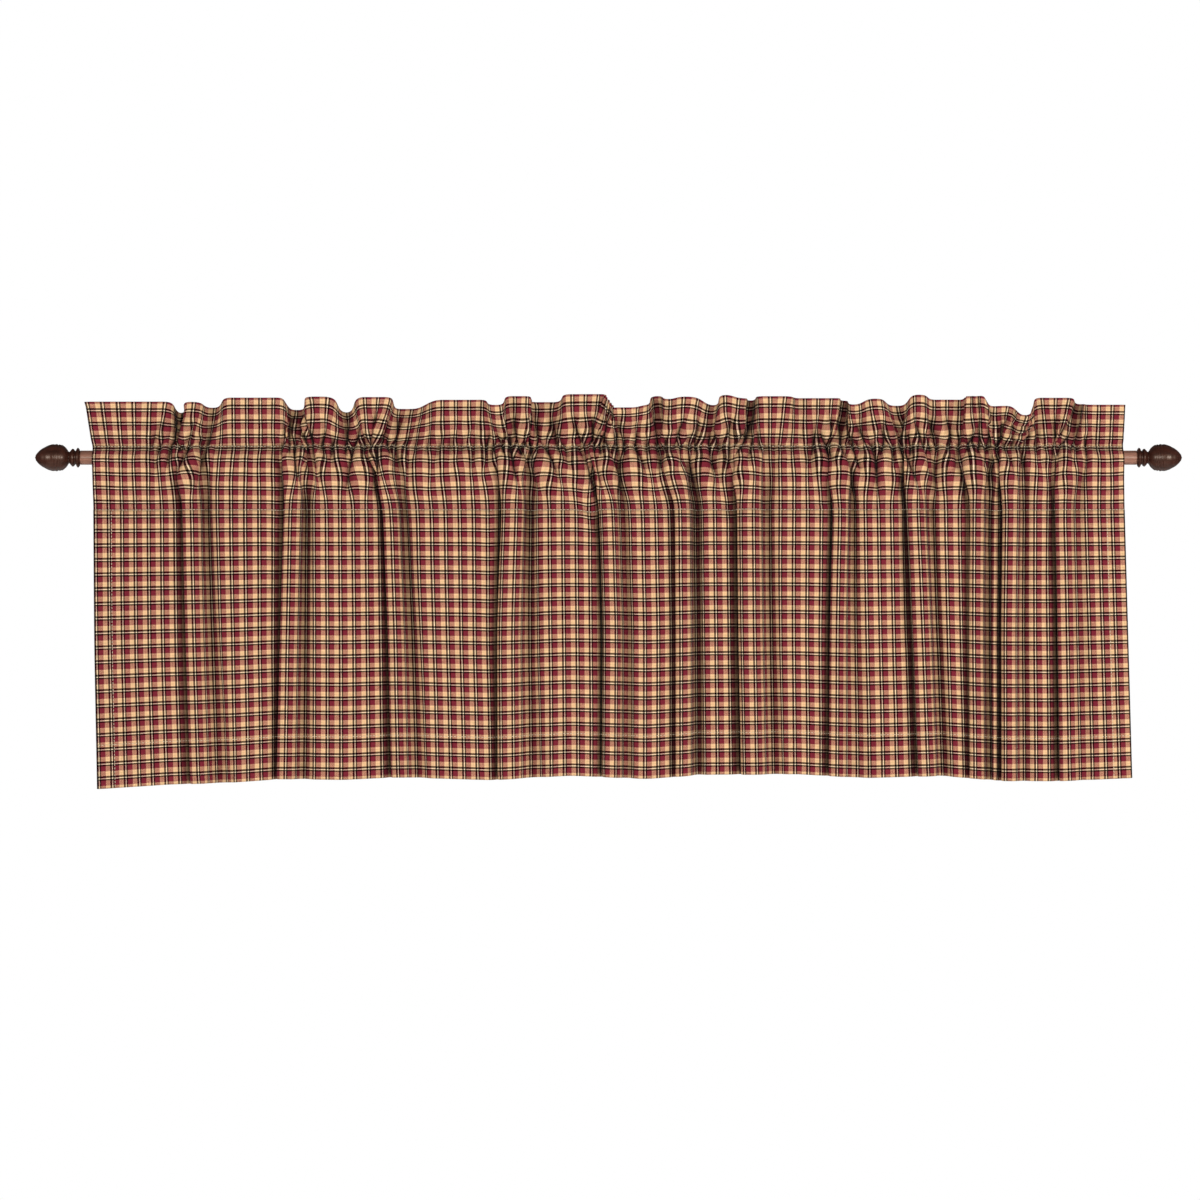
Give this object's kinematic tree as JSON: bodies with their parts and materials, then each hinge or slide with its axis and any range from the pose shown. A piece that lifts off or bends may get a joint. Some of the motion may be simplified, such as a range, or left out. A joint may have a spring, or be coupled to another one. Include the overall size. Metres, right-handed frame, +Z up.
{
  "type": "window valance on a curtain rod",
  "caption": "Gathered rod-pocket valance of woven check cotton with a ruffled heading, hanging on a round wooden rod with turned acorn finials.",
  "frame": {"origin": "on the rod's axis, halfway along the rod", "axes": "+X along the rod, to the right as seen from the room; -Y into the room; +Z up"},
  "size_m": [1.2136, 0.0393, 0.4172],
  "materials": {
    "check_cotton": "matt plain weave, small woven check in burgundy, tan, black and cream",
    "walnut_rod": "satin brown stain",
    "walnut_finial": "satin dark brown stain"
  },
  "bodies": {
    "root": {"valance_cloth": "check_cotton", "rod": "walnut_rod", "finial_left": "walnut_finial", "finial_right": "walnut_finial"}
  },
  "joints": []
}
